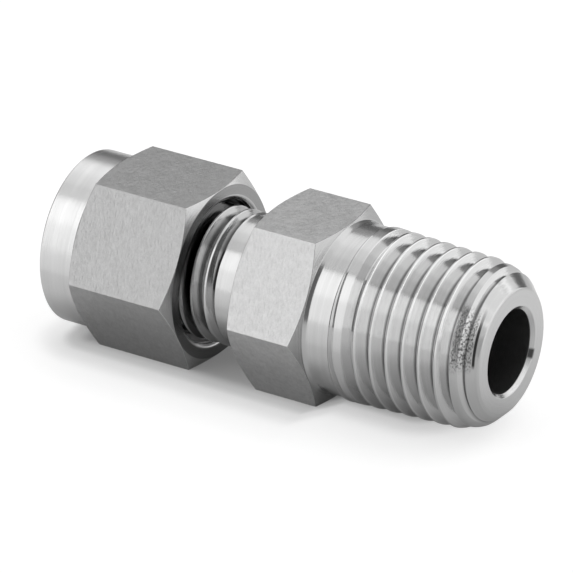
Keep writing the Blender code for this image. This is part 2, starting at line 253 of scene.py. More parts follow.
# the photograph's view, from a fit to the hex corners, rims and thread crests, in metres
PHOTO_PIXELS = 573
PIXELS_PER_MM = 12.419
SENSOR_WIDTH = 36
VIEW_AZIMUTH = math.radians(32.14)
VIEW_ELEVATION = math.radians(26.85)
VIEW_ROLL = math.radians(-0.32)
VIEW_DISTANCE = 0.4292
NUT_MARK_ALONG = -18.4495 * MM
AIM_RIGHT_OF_MARK = 14.95 * MM
AIM_BELOW_MARK = 3.89 * MM
NEAREST_SEEN = 0.01

# sizes that follow from those above
AXIS_HEIGHT = HEX_ACROSS_FLATS / 2
HEX_FACE_RADIUS = AXIS_HEIGHT - HEX_FACE_DROP
TUBE_ROOT_RADIUS = TUBE_CREST_RADIUS - STRAIGHT_DEPTH_SHARE * TUBE_PITCH
SEAT_MOUTH_RADIUS = TUBE_ROOT_RADIUS - SEAT_RIM_WALL
FERRULE_RADIUS = SEAT_MOUTH_RADIUS + FERRULE_RIM_WIDTH
FRONT_NOSE_RADIUS = TUBE_HOLE_RADIUS + FERRULE_NOSE_WALL
BACK_NOSE_RADIUS = TUBE_HOLE_RADIUS + BACK_NOSE_WALL
FRONT_FERRULE_STATION = (
    -FERRULE_RIM_WIDTH / math.tan(SEAT_ANGLE)
    - NUT_BACKED_OFF_TURNS * TUBE_PITCH
    - FERRULE_GAP
    - FRONT_FERRULE_RING_LENGTH
)
BACK_FERRULE_LENGTH = BACK_FLANGE_LENGTH + BACK_NOSE_LENGTH
BACK_FERRULE_STATION = (
    FRONT_FERRULE_STATION
    + (TUBE_HOLE_RADIUS + RECESS_DEPTH - BACK_NOSE_RADIUS + NOSE_BEVEL)
    - FERRULE_GAP
    - BACK_FERRULE_LENGTH
)
NUT_STATION = BACK_FERRULE_STATION - FERRULE_GAP - BACK_NOSE_WALL - NUT_WALL
MIDDLE_STATION = (NUT_STATION + PIPE_END_STATION) / 2
PIPE_END_ALONG = (PIPE_END_STATION - MIDDLE_STATION) / MM
FITTING_MIDDLE = (0, 0, AXIS_HEIGHT)

# softboxes, in metres: name, place, the point that it faces, size and radiance
SOFTBOXES = (
    ("overhead", (0.10, 0.134, 0.31), (0.10, 0.134, 0), (1.00, 0.454), 0.65),
    ("overhead_back", (0.10, 0.195, 0.311), (0.10, 0.195, 0), (1.00, 0.33), 0.16),
    ("overhead_far", (0.04, 0.24, 0.312), (0.04, 0.24, 0), (0.88, 0.24), 0.18),
    ("front", (-0.178, -0.272, 0.194), (-0.178, -0.012, -0.009), (0.32, 0.47), 1.07),
    ("front_top", (-0.178, -0.203, 0.267), (-0.178, 0, AXIS_HEIGHT), (0.32, 0.20), 0.22),
    ("back_left", (-0.216, 0.345, 0.212), (-0.216, 0, AXIS_HEIGHT), (0.45, 0.12), 0.22),
    ("back_right", (0.342, 0.222, 0.108), FITTING_MIDDLE, (0.66, 0.24), 0.92),
    ("back", (0.169, 0.318, 0.223), FITTING_MIDDLE, (0.21, 0.11), 0.65),
    ("right", (0.374, -0.05, 0.24), FITTING_MIDDLE, (0.30, 0.20), 0.28),
    ("right_low", (0.40, -0.16, 0.13), FITTING_MIDDLE, (0.26, 0.26), 0.36),
)


def corner_round_centre():
    """How far from the axis the rounding of a hex corner is centred."""
    return (AXIS_HEIGHT - HEX_CORNER_ROUND) / math.cos(HALF_SIDE_ANGLE)


def corner_round_reach():
    """How far each side of a corner its rounding reaches, as an angle from the axis."""
    return math.atan2(
        HEX_CORNER_ROUND * math.sin(HALF_SIDE_ANGLE),
        corner_round_centre() + HEX_CORNER_ROUND * math.cos(HALF_SIDE_ANGLE),
    )


def hex_radius(angles):
    """Distance from the axis to the hex bar, whose corners are slightly rounded."""
    off_corner = np.abs(angles % (2 * HALF_SIDE_ANGLE) - HALF_SIDE_ANGLE)
    flat = AXIS_HEIGHT / np.cos(HALF_SIDE_ANGLE - off_corner)
    centre = corner_round_centre()
    inside = np.maximum(HEX_CORNER_ROUND**2 - (centre * np.sin(off_corner)) ** 2, 0)
    rounded = centre * np.cos(off_corner) + np.sqrt(inside)
    return np.where(off_corner < corner_round_reach(), rounded, flat)


def column_angles(with_hex):
    """Angles of the columns of a piece, closer together at the corners of a hex."""
    even = np.arange(COLUMNS) * math.tau / COLUMNS
    if not with_hex:
        return even
    reach = corner_round_reach()
    corners = HALF_SIDE_ANGLE + np.arange(HEX_SIDES) * math.tau / HEX_SIDES
    extra = [corners + reach * share for share in (-1, -0.5, 0.5, 1)]
    return np.sort(np.concatenate([even, *extra]))


def soften(corners, columns):
    """Rounds the corners of a closed outline, each (station, radius, edge, zone)."""
    points = np.zeros((len(corners), 2, columns))
    for row, (station, radius, _, _) in zip(points, corners):
        row[0] = station
        row[1] = radius
    edges = np.array([corner[2] for corner in corners]).reshape(-1, 1, 1)
    cuts = []
    for shift in (1, -1):
        side = np.roll(points, shift, axis=0) - points
        length = np.maximum(np.linalg.norm(side, axis=1, keepdims=True), LEAST_LENGTH)
        cuts.append(side / length * np.minimum(edges, length * LARGEST_EDGE_SHARE))
    rows = [
        points + (1 - share) ** 2 * cuts[0] + share**2 * cuts[1]
        for share in np.linspace(0, 1, EDGE_STEPS + 1)
    ]
    zones = [corner[3] for corner in corners for _ in rows]
    return np.stack(rows, axis=1).reshape(-1, 2, columns), zones


def on_axis(stations, radii, angles):
    """Points in the part's frame, from stations, radii and angles round the axis."""
    return np.stack(
        [
            stations - MIDDLE_STATION,
            -radii * np.sin(angles),
            AXIS_HEIGHT + radii * np.cos(angles),
        ],
        axis=-1,
    ).reshape(-1, 3)


def new_piece(name, points, faces, zones, material_slots):
    """A mesh object with clean, outward faces."""
    mesh = bpy.data.meshes.new(name)
    mesh.from_pydata(points.tolist(), [], faces)
    for material in material_slots:
        mesh.materials.append(material)
    mesh.polygons.foreach_set("material_index", zones)
    shape = bmesh.new()
    shape.from_mesh(mesh)
    bmesh.ops.remove_doubles(shape, verts=shape.verts, dist=WELD_DISTANCE)
    bmesh.ops.recalc_face_normals(shape, faces=shape.faces)
    shape.to_mesh(mesh)
    shape.free()
    piece = bpy.data.objects.new(name, mesh)
    bpy.context.scene.collection.objects.link(piece)
    return piece


def turned(name, corners, angles, material_slots):
    """A ring with a closed outline, whose corners may differ from column to column."""
    rows, zones = soften(corners, len(angles))
    count, _, columns = rows.shape
    points = on_axis(rows[:, 0], rows[:, 1], angles[None, :])
    faces = []
    face_zones = []
    for i in range(count):
        low, high = i * columns, (i + 1) % count * columns
        for j in range(columns):
            k = (j + 1) % columns
            faces.append((low + j, low + k, high + k, high + j))
            face_zones.append(zones[i])
    return new_piece(name, points, faces, face_zones, material_slots)


def groove_section(root_radius, crest_radius, width_at_crest, pitch):
    """A thread groove as (offset along the axis, radius), with its crest edges broken."""
    half_crest = width_at_crest / 2
    half_root = half_crest - (crest_radius - root_radius) * FLANK_SLOPE
    half_flank = half_crest - CREST_BREAK * FLANK_SLOPE
    half_rim = half_crest + CREST_BREAK
    side = [
        (half_root, root_radius),
        (half_flank, crest_radius - CREST_BREAK),
        (half_rim, crest_radius + CREST_BREAK * FLANK_SLOPE),
        (half_rim, crest_radius + CUTTER_LIP_SHARE * pitch),
    ]
    return side + [(-offset, radius) for offset, radius in reversed(side)]


def thread_tool(section, pitch, centre, low, high, widen, zone, material_slots):
    """A section swept along a right-hand helix, to be cut from a piece.

    The section is centred on the station centre where the helix passes the -Y side, and
    widen gives how much further out each point lies at its station.
    """
    first = math.floor((low - centre) / pitch * COLUMNS)
    last = math.ceil((high - centre) / pitch * COLUMNS)
    turns = (np.arange(first, last + 1) + 0.5) / COLUMNS
    offsets, radii = np.array(section).T
    stations = centre + pitch * turns[:, None] + offsets
    radii = radii + np.vectorize(widen)(stations)
    angles = math.pi / 2 + math.tau * turns[:, None]
    points = on_axis(stations, radii, angles)
    count = len(section)
    faces = [tuple(range(count)), tuple(range(len(points) - count, len(points)))]
    for i in range(len(turns) - 1):
        for j in range(count):
            k = (j + 1) % count
            low_row, high_row = i * count, (i + 1) * count
            faces.append((low_row + j, low_row + k, high_row + k, high_row + j))
    zones = [zone] * len(faces)
    return new_piece("thread_tool", points, faces, zones, material_slots)


def apply_modifiers(piece):
    """Makes what the modifiers of a piece do part of its mesh."""
    bpy.context.view_layer.update()
    depsgraph = bpy.context.evaluated_depsgraph_get()
    mesh = bpy.data.meshes.new_from_object(piece.evaluated_get(depsgraph))
    piece.modifiers.clear()
    mesh.name = piece.name
    piece.data = mesh


def cut(piece, tools):
    """Cuts the tools from a piece for good, and takes the tools away."""
    for tool in tools:
        boolean = piece.modifiers.new("cut", "BOOLEAN")
        boolean.operation = "DIFFERENCE"
        boolean.solver = "EXACT"
        boolean.object = tool
    apply_modifiers(piece)
    for tool in tools:
        bpy.data.objects.remove(tool)


def shade(piece):
    """Smooth faces with crisp edges, and normals that follow the larger faces."""
    piece.data.shade_smooth()
    piece.data.set_sharp_from_angle(angle=SHARP_EDGE_ANGLE)
    weighted = piece.modifiers.new("even_shading", "WEIGHTED_NORMAL")
    weighted.keep_sharp = True
    weighted.weight = LARGE_FACE_WEIGHT
    # the modifier passes over faces as small as these, so it works on them in millimetres
    piece.data.transform(Matrix.Scale(1 / MM, 4))
    apply_modifiers(piece)
    piece.data.transform(Matrix.Scale(MM, 4))


def hex_corners(low, high, angles):
    """The outline of a hex, with both of its ends chamfered to a circle."""
    radius = hex_radius(angles)
    chamfer = (radius - HEX_FACE_RADIUS) * math.tan(HEX_CHAMFER_ANGLE)
    return [
        (low, HEX_FACE_RADIUS, HEX_EDGE, CHAMFER),
        (low + chamfer, radius, HEX_EDGE, FLAT),
        (high - chamfer, radius, HEX_EDGE, CHAMFER),
        (high, HEX_FACE_RADIUS, HEX_EDGE, TURNED),
    ]


def pipe_crest_radius(station):
    """The radius over the crests of the taper thread, which grows away from its end."""
    return PIPE_CREST_RADIUS + (PIPE_END_STATION - station) * PIPE_TAPER_SLOPE


def body_outside(angles):
    """The outside of the fitting body before its threads are cut, towards the pipe end."""
    lead = TUBE_CREST_RADIUS - TUBE_ROOT_RADIUS
    neck_step = TUBE_CREST_RADIUS - NECK_RADIUS
    large_radius = pipe_crest_radius(PIPE_THREAD_STATION)
    lead_station = PIPE_END_STATION - PIPE_LEAD_LENGTH
    chamfer_station = PIPE_END_STATION - PIPE_CHAMFER_LENGTH
    chamfer_radius = PIPE_FACE_RADIUS + PIPE_CHAMFER_LENGTH
    rise_end = PIPE_THREAD_STATION + large_radius - SHANK_RADIUS
    return [
        (0, TUBE_ROOT_RADIUS, FINE_EDGE, TURNED),
        (lead, TUBE_CREST_RADIUS, FINE_EDGE, TURNED),
        (NECK_STATION - neck_step, TUBE_CREST_RADIUS, FINE_EDGE, TURNED),
        (NECK_STATION, NECK_RADIUS, FINE_EDGE, TURNED),
        (HEX_STATION, NECK_RADIUS, FINE_EDGE, TURNED),
        *hex_corners(HEX_STATION, SHANK_STATION, angles),
        (SHANK_STATION, SHANK_RADIUS + SHANK_FILLET_RISE, FINE_EDGE, TURNED),
        (SHANK_STATION + SHANK_FILLET_LENGTH, SHANK_RADIUS, SHANK_EDGE, TURNED),
        (PIPE_THREAD_STATION, SHANK_RADIUS, FINE_EDGE, TURNED),
        (rise_end, large_radius, FINE_EDGE, TURNED),
        (lead_station, pipe_crest_radius(lead_station), PIPE_LEAD_EDGE, PIPE_END),
        (chamfer_station, chamfer_radius, PIPE_CHAMFER_EDGE, PIPE_END),
        (PIPE_END_STATION, PIPE_FACE_RADIUS, PIPE_FACE_EDGE, TURNED),
    ]


def body_inside():
    """The bore of the fitting body, back from the pipe end."""
    seat_length = (SEAT_MOUTH_RADIUS - TUBE_HOLE_RADIUS) / math.tan(SEAT_ANGLE)
    drilled = PIPE_END_STATION - PIPE_BORE_DEPTH
    point = (PIPE_BORE_RADIUS - FLOW_BORE_RADIUS) / math.tan(DRILL_POINT_ANGLE)
    mouth_radius = PIPE_BORE_RADIUS + PIPE_BORE_BEVEL
    return [
        (PIPE_END_STATION, mouth_radius, FINE_EDGE, TURNED),
        (PIPE_END_STATION - PIPE_BORE_BEVEL, PIPE_BORE_RADIUS, FINE_EDGE, BORE),
        (drilled, PIPE_BORE_RADIUS, FINE_EDGE, BORE),
        (drilled - point, FLOW_BORE_RADIUS, FINE_EDGE, BORE),
        (TUBE_STOP_DEPTH, FLOW_BORE_RADIUS, FINE_EDGE, BORE),
        (TUBE_STOP_DEPTH, TUBE_HOLE_RADIUS, FINE_EDGE, BORE),
        (seat_length, TUBE_HOLE_RADIUS, FINE_EDGE, TURNED),
        (0, SEAT_MOUTH_RADIUS, FINE_EDGE, TURNED),
    ]


def tube_thread_tool(material_slots):
    """Cuts the straight thread, and rises out of the metal where the neck begins."""
    depth = TUBE_CREST_RADIUS - TUBE_ROOT_RADIUS
    width = TUBE_PITCH * (1 - STRAIGHT_CREST_SHARE)
    section = groove_section(TUBE_ROOT_RADIUS, TUBE_CREST_RADIUS, width, TUBE_PITCH)
    run_out_end = NECK_STATION + TUBE_PITCH / 2
    run_out_start = run_out_end - TUBE_PITCH
    return thread_tool(
        section,
        TUBE_PITCH,
        TUBE_CREST_STATION + TUBE_PITCH / 2,
        -TUBE_PITCH,
        run_out_end + TUBE_PITCH,
        lambda station: depth * max(0, station - run_out_start) / TUBE_PITCH,
        TUBE_THREAD,
        material_slots,
    )


def pipe_thread_tool(material_slots):
    """Cuts the taper thread, and rises out of the metal at the shank."""
    depth = PIPE_DEPTH_SHARE * PIPE_PITCH
    width = PIPE_PITCH * (1 - PIPE_CREST_SHARE)
    section = groove_section(
        PIPE_CREST_RADIUS - depth, PIPE_CREST_RADIUS, width, PIPE_PITCH
    )
    run_out = PIPE_RUN_OUT_TURNS * PIPE_PITCH
    run_out_end = PIPE_THREAD_STATION - PIPE_PITCH / 2
    run_out_start = run_out_end + run_out

    def widen(station):
        taper = (PIPE_END_STATION - station) * PIPE_TAPER_SLOPE
        return taper + depth * max(0, run_out_start - station) / run_out

    return thread_tool(
        section,
        PIPE_PITCH,
        PIPE_END_STATION - PIPE_CREST_FROM_END - PIPE_PITCH / 2,
        run_out_end - PIPE_PITCH,
        PIPE_END_STATION + PIPE_PITCH,
        widen,
        THREAD,
        material_slots,
    )


def make_body(material_slots):
    """The fitting body, with both of its threads cut."""
    angles = column_angles(with_hex=True)
    corners = body_outside(angles) + body_inside()
    body = turned("connector_body", corners, angles, material_slots)
    cut(body, [tube_thread_tool(material_slots), pipe_thread_tool(material_slots)])
    shade(body)
    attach(body, "fitting")
    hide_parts("fitting_body")


def nut_corners(angles):
    """The outline of the nut, whose stations are measured from its tube end."""
    chamber_radius = FERRULE_RADIUS + FERRULE_GAP
    minor_radius = TUBE_CREST_RADIUS - NUT_DEPTH_SHARE * TUBE_PITCH
    relief_radius = TUBE_CREST_RADIUS + NUT_RELIEF_CLEARANCE
    shoulder_end = NUT_WALL + chamber_radius - TUBE_HOLE_RADIUS
    relief = shoulder_end + FERRULE_CHAMBER_LENGTH
    relief_step = relief_radius - chamber_radius
    thread_start = relief + relief_step + TUBE_PITCH
    mouth = NUT_LENGTH - MOUTH_DEPTH
    thread_end = mouth - (MOUTH_RADIUS - minor_radius)
    inside = [
        (NUT_LENGTH, MOUTH_RADIUS + MOUTH_BEVEL, NUT_MOUTH_EDGE, NUT_RIM),
        (NUT_LENGTH - MOUTH_RIM, MOUTH_RADIUS + MOUTH_BEVEL - MOUTH_RIM, 0, THREAD),
        (NUT_LENGTH - MOUTH_BEVEL, MOUTH_RADIUS, FINE_EDGE, THREAD),
        (mouth, MOUTH_RADIUS, FINE_EDGE, BORE),
        (thread_end, minor_radius, FINE_EDGE, BORE),
        (thread_start + relief_radius - minor_radius, minor_radius, FINE_EDGE, BORE),
        (thread_start, relief_radius, FINE_EDGE, BORE),
        (relief + relief_step, relief_radius, FINE_EDGE, BORE),
        (relief, chamber_radius, FINE_EDGE, BORE),
        (shoulder_end, chamber_radius, FINE_EDGE, BORE),
        (NUT_WALL, TUBE_HOLE_RADIUS, FINE_EDGE, BORE),
        (0, TUBE_HOLE_RADIUS, FINE_EDGE, TURNED),
    ]
    outside = [
        (0, HEX_FACE_RADIUS - NUT_COLLAR_EDGE, FINE_EDGE, TURNED),
        (NUT_COLLAR_EDGE, HEX_FACE_RADIUS, FINE_EDGE, TURNED),
        *hex_corners(NUT_COLLAR_LENGTH, NUT_LENGTH, angles)[:-1],
        (NUT_LENGTH, HEX_FACE_RADIUS, HEX_EDGE, NUT_FACE),
    ]
    return [
        (NUT_STATION + station, radius, edge, zone)
        for station, radius, edge, zone in outside + inside
    ]


def nut_thread_tool(material_slots):
    """The body's own thread ridge, larger all round by the running clearance."""
    ridge_radius = TUBE_CREST_RADIUS + NUT_THREAD_CLEARANCE
    inner_radius = TUBE_CREST_RADIUS - (NUT_DEPTH_SHARE + CUTTER_LIP_SHARE) * TUBE_PITCH
    half_crest = STRAIGHT_CREST_SHARE * TUBE_PITCH / 2 + NUT_FLANK_CLEARANCE
    half_top = half_crest - NUT_THREAD_CLEARANCE * FLANK_SLOPE
    half_foot = half_crest + (TUBE_CREST_RADIUS - inner_radius) * FLANK_SLOPE
    section = [
        (-half_foot, inner_radius),
        (half_foot, inner_radius),
        (half_top, ridge_radius),
        (-half_top, ridge_radius),
    ]
    relief = TUBE_CREST_RADIUS + NUT_RELIEF_CLEARANCE - TUBE_HOLE_RADIUS
    start = NUT_STATION + NUT_WALL + relief + FERRULE_CHAMBER_LENGTH + TUBE_PITCH / 2
    return thread_tool(
        section,
        TUBE_PITCH,
        TUBE_CREST_STATION,
        start,
        NUT_STATION + NUT_LENGTH,
        lambda station: 0,
        THREAD,
        material_slots,
    )


def make_nut(material_slots):
    """The coupling nut, with its inner thread cut."""
    angles = column_angles(with_hex=True)
    nut = turned("coupling_nut", nut_corners(angles), angles, material_slots)
    cut(nut, [nut_thread_tool(material_slots)])
    shade(nut)
    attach(nut, "nut")
    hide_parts("nut")


def make_ferrule(name, node, station, outline, material_slots):
    """A ferrule from its outline, as (distance from its tube end, radius)."""
    corners = [(station + x, r, FINE_EDGE, TURNED) for x, r in outline]
    ferrule = turned(name, corners, column_angles(with_hex=False), material_slots)
    shade(ferrule)
    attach(ferrule, "ferrules")
    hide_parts(node)


def make_ferrules(material_slots):
    """The front ferrule, recessed for the nose of the back one, and the back ferrule."""
    cone = (FERRULE_RADIUS - FRONT_NOSE_RADIUS) / math.tan(SEAT_ANGLE)
    length = FRONT_FERRULE_RING_LENGTH + cone
    front = [
        (0, FERRULE_RADIUS),
        (FRONT_FERRULE_RING_LENGTH, FERRULE_RADIUS),
        (length, FRONT_NOSE_RADIUS),
        (length, TUBE_HOLE_RADIUS),
        (RECESS_DEPTH, TUBE_HOLE_RADIUS),
        (0, TUBE_HOLE_RADIUS + RECESS_DEPTH),
    ]
    back = [
        (0, BACK_NOSE_RADIUS),
        (FERRULE_RADIUS - BACK_NOSE_RADIUS, FERRULE_RADIUS),
        (BACK_FLANGE_LENGTH, FERRULE_RADIUS),
        (BACK_FLANGE_LENGTH + BACK_FLANGE_STEP_LENGTH, BACK_NOSE_RADIUS),
        (BACK_FERRULE_LENGTH - NOSE_BEVEL, BACK_NOSE_RADIUS),
        (BACK_FERRULE_LENGTH, BACK_NOSE_RADIUS - NOSE_BEVEL),
        (BACK_FERRULE_LENGTH, TUBE_HOLE_RADIUS),
        (0, TUBE_HOLE_RADIUS),
    ]
    make_ferrule(
        "front_ring", "front_ferrule", FRONT_FERRULE_STATION, front, material_slots
    )
    make_ferrule(
        "back_ring", "back_ferrule", BACK_FERRULE_STATION, back, material_slots
    )


def new_group(name, inputs, outputs):
    """A node group with numbers going in, each with its plain value, and numbers coming out."""
    group = bpy.data.node_groups.new(name, "ShaderNodeTree")
    for label, value in inputs.items():
        socket = group.interface.new_socket(label, in_out="INPUT", socket_type="NodeSocketFloat")
        socket.default_value = value
    for label in outputs:
        group.interface.new_socket(label, in_out="OUTPUT", socket_type="NodeSocketFloat")
    entry = group.nodes.new("NodeGroupInput")
    leave = group.nodes.new("NodeGroupOutput")
    return group, entry.outputs, leave.inputs


def feed(tree, value, socket):
    """Links a value to a socket, or sets the socket to it where it is a plain one."""
    if isinstance(value, bpy.types.NodeSocket):
        tree.links.new(value, socket)
    else:
        socket.default_value = value


def place(tree, group, **values):
    """A group in a material, with its values set or linked. Returns its outputs."""
    node = tree.nodes.new("ShaderNodeGroup")
    node.node_tree = group
    for label, value in values.items():
        feed(tree, value, node.inputs[label.replace("_", " ")])
    return node.outputs


def maths(tree, operation, *values):
    """A maths node whose inputs are sockets or plain numbers."""
    node = tree.nodes.new("ShaderNodeMath")
    node.operation = operation
    for socket, value in zip(node.inputs, values):
        feed(tree, value, socket)
    return node.outputs[0]


def mean(tree, first, second):
    """Halfway between two values."""
    return maths(tree, "MULTIPLY_ADD", first, 0.5, maths(tree, "MULTIPLY", second, 0.5))


def root_of_squares(tree, first, second):
    """How far off a point is whose distances along two square directions are given."""
    squares = maths(
        tree,
        "ADD",
        maths(tree, "MULTIPLY", first, first),
        maths(tree, "MULTIPLY", second, second),
    )
    return maths(tree, "SQRT", squares)


def combined(tree, *values):
    """A vector of three values."""
    node = tree.nodes.new("ShaderNodeCombineXYZ")
    for socket, value in zip(node.inputs, values):
        feed(tree, value, socket)
    return node.outputs[0]


def noise(tree, vector, scale, detail=2.0, roughness=0.5):
    """Cloudy noise, mostly a little above or below one half."""
    node = tree.nodes.new("ShaderNodeTexNoise")
    node.inputs["Detail"].default_value = detail
    node.inputs["Roughness"].default_value = roughness
    feed(tree, vector, node.inputs["Vector"])
    feed(tree, scale, node.inputs["Scale"])
    return node.outputs["Fac"]


def ranged(tree, value, low, high, to_low=0.0, to_high=1.0):
    """A value between two limits, spread over two others."""
    node = tree.nodes.new("ShaderNodeMapRange")
    feed(tree, value, node.inputs["Value"])
    for label, limit in (
        ("From Min", low),
        ("From Max", high),
        ("To Min", to_low),
        ("To Max", to_high),
    ):
        feed(tree, limit, node.inputs[label])
    return node.outputs["Result"]


def between(tree, value, fade_in, fade_out):
    """One between two fades and nothing beyond them, each given from nothing to one."""
    return maths(
        tree,
        "MULTIPLY",
        ranged(tree, value, *fade_in),
        ranged(tree, value, *fade_out),
    )


def grey(tone):
    """A grey as a colour."""
    return (tone, tone, tone, 1)


def mixed(tree, amount, first, second):
    """A colour between two others."""
    node = tree.nodes.new("ShaderNodeMix")
    node.data_type = "RGBA"
    feed(tree, amount, node.inputs["Factor"])
    feed(tree, first, node.inputs["A"])
    feed(tree, second, node.inputs["B"])
    return node.outputs["Result"]


def curve(tree, value, reach, points):
    """A smooth curve over a value from 0 to a reach, through (share, height) points."""
    node = tree.nodes.new("ShaderNodeValToRGB")
    node.color_ramp.interpolation = "EASE"
    painted_marks = node.color_ramp.elements
    while len(painted_marks) < len(points):
        painted_marks.new(0.5)
    for mark, (share, height) in zip(painted_marks, points):
        mark.position = share
        mark.color = grey(height)
    tree.links.new(maths(tree, "DIVIDE", value, reach), node.inputs["Fac"])
    return node.outputs["Color"]


def place_on_object(tree):
    """Where a point lies on its object, as X, Y and Z in metres."""
    coordinates = tree.nodes.new("ShaderNodeTexCoord")
    split = tree.nodes.new("ShaderNodeSeparateXYZ")
    tree.links.new(coordinates.outputs["Object"], split.inputs[0])
    return split.outputs


def place_on_fitting_group():
    """How far a point lies along the axis and off it, in millimetres, and in which direction."""
    group, _, leave = new_group(
        "place_on_fitting", {}, ["Along", "Off Axis", "Around Y", "Around Z"]
    )
    point = place_on_object(group)
    along = maths(group, "MULTIPLY", point["X"], 1 / MM)
    side = maths(group, "MULTIPLY", point["Y"], 1 / MM)
    height = maths(group, "SUBTRACT", point["Z"], AXIS_HEIGHT)
    height = maths(group, "MULTIPLY", height, 1 / MM)
    off_axis = maths(group, "MAXIMUM", root_of_squares(group, side, height), LEAST_OFF_AXIS)
    group.links.new(along, leave["Along"])
    group.links.new(off_axis, leave["Off Axis"])
    group.links.new(maths(group, "DIVIDE", side, off_axis), leave["Around Y"])
    group.links.new(maths(group, "DIVIDE", height, off_axis), leave["Around Z"])
    return group


def turning_marks_group(place_on_fitting):
    """Fine rings left by the lathe, which fade in and out around the piece."""
    group, entry, leave = new_group(
        "turning_marks",
        {"Rings per mm": 9.0, "Wander": 1.2},
        ["Height", "Tone"],
    )
    where = place(group, place_on_fitting)
    ramp = maths(group, "MULTIPLY_ADD", where["Off Axis"], FACE_RING_SHARE, where["Along"])
    vector = combined(
        group,
        maths(group, "MULTIPLY", ramp, entry["Rings per mm"]),
        maths(group, "MULTIPLY", where["Around Y"], entry["Wander"]),
        maths(group, "MULTIPLY", where["Around Z"], entry["Wander"]),
    )
    fine = noise(group, vector, scale=1.0, detail=3.0, roughness=0.6)
    broad = noise(group, vector, scale=0.17)
    group.links.new(ranged(group, fine, *HEIGHT_SPREAD), leave["Height"])
    group.links.new(ranged(group, mean(group, broad, fine), *TONE_SPREAD), leave["Tone"])
    return group


def machined_grain_group(place_on_fitting):
    """Fine grain of a ground or milled flat, drawn out across the axis."""
    group, entry, leave = new_group(
        "machined_grain",
        {"Grains per mm": 9.0, "Streak": 0.35},
        ["Height", "Tone", "Cloud"],
    )
    where = place(group, place_on_fitting)
    side = maths(group, "MULTIPLY", where["Around Y"], where["Off Axis"])
    height = maths(group, "MULTIPLY", where["Around Z"], where["Off Axis"])
    vector = combined(
        group,
        where["Along"],
        maths(group, "MULTIPLY", side, entry["Streak"]),
        maths(group, "MULTIPLY", height, entry["Streak"]),
    )
    grain = noise(group, vector, entry["Grains per mm"], detail=4.0, roughness=0.65)
    still = combined(group, where["Along"], side, height)
    cloud = noise(group, still, scale=1.6, detail=4.0, roughness=0.7)
    group.links.new(ranged(group, grain, *HEIGHT_SPREAD), leave["Height"])
    group.links.new(ranged(group, grain, *TONE_SPREAD), leave["Tone"])
    group.links.new(ranged(group, cloud, *CLOUD_SPREAD), leave["Cloud"])
    return group


def crest_highlight_and_root_shade_group(place_on_fitting):
    """Finds the crests of a thread, for a painted highlight, and its roots, for painted shade,
    from its crest line.
    """
    group, entry, leave = new_group(
        "crest_highlight_and_root_shade",
        {"Crest Radius": PIPE_CREST_RADIUS / MM, "Taper": PIPE_TAPER_SLOPE, "Depth": 1.0},
        ["Crest", "Root"],
    )
    where = place(group, place_on_fitting)
    from_end = maths(group, "SUBTRACT", PIPE_END_ALONG, where["Along"])
    crest = maths(group, "MULTIPLY_ADD", from_end, entry["Taper"], entry["Crest Radius"])
    below = maths(group, "SUBTRACT", crest, where["Off Axis"])
    above_root = maths(group, "SUBTRACT", entry["Depth"], below)
    group.links.new(ranged(group, below, *CREST_HIGHLIGHT_FADE), leave["Crest"])
    group.links.new(ranged(group, above_root, *ROOT_SHADE_FADE), leave["Root"])
    return group


def angle_round_axis(tree, where):
    """The angle of a point round the axis, from the top towards -Y."""
    return maths(
        tree,
        "ARCTAN2",
        maths(tree, "MULTIPLY", where["Around Y"], -1.0),
        where["Around Z"],
    )


def near_angles(tree, angle, fades):
    """One between two fades, each a pair of angles in degrees, and nothing beyond them."""
    fade_in, fade_out = ([math.radians(limit) for limit in fade] for fade in fades)
    return between(tree, angle, fade_in, fade_out)


def torn_turn_and_step_shade_group(place_on_fitting):
    """The last turn at the pipe end, torn by the tool on the near side, and a line of painted
    shade beside it where the thread's groove steps out on the chamfer.
    """
    group, _, leave = new_group("torn_turn_and_step_shade", {}, ["Torn", "Height", "Painted Shade"])
    where = place(group, place_on_fitting)
    angle = angle_round_axis(group, where)
    along_per_radian = PIPE_PITCH / MM / math.tau
    helix = maths(group, "MULTIPLY_ADD", angle, -along_per_radian, where["Along"])
    near_side = near_angles(group, angle, TORN_ANGLES)
    area = maths(group, "MULTIPLY", near_side, between(group, helix, *TORN_HELIX))
    drawn_out = combined(group, helix, maths(group, "MULTIPLY", angle, CHIPS_ROUND_AXIS), 0.0)
    chips = noise(group, drawn_out, scale=9.0, detail=4.0, roughness=0.7)
    torn = maths(group, "MULTIPLY", area, ranged(group, chips, *CHIP_SPREAD))
    near_step_shade = near_angles(group, angle, END_STEP_SHADE_ANGLES)
    step_shade = maths(group, "MULTIPLY", near_step_shade, between(group, helix, *END_STEP_SHADE_HELIX))
    group.links.new(torn, leave["Torn"])
    group.links.new(maths(group, "MULTIPLY", area, chips), leave["Height"])
    group.links.new(step_shade, leave["Painted Shade"])
    return group


def painted_light_marks_group(place_on_fitting):
    """Painted light: a line of painted shade and a line of painted highlight where the thread
    runs out at the shank, and a patch of painted dark reflection on the bore's bevel.
    """
    group, _, leave = new_group("painted_light_marks", {}, ["Groove Shade", "Lip Highlight", "Painted Shade"])
    where = place(group, place_on_fitting)
    angle = angle_round_axis(group, where)
    near_side = near_angles(group, angle, RUN_OUT_ANGLES)
    for label, fades in (("Groove Shade", GROOVE_SHADE_ALONG), ("Lip Highlight", LIP_HIGHLIGHT_ALONG)):
        line = between(group, where["Along"], *fades)
        group.links.new(maths(group, "MULTIPLY", near_side, line), leave[label])
    on_bevel = maths(
        group,
        "MULTIPLY",
        ranged(group, where["Along"], *BEVEL_REFLECTION_ALONG),
        ranged(group, where["Off Axis"], *BEVEL_REFLECTION_OFF_AXIS),
    )
    far_side = near_angles(group, angle, BEVEL_REFLECTION_ANGLES)
    group.links.new(maths(group, "MULTIPLY", far_side, on_bevel), leave["Painted Shade"])
    return group


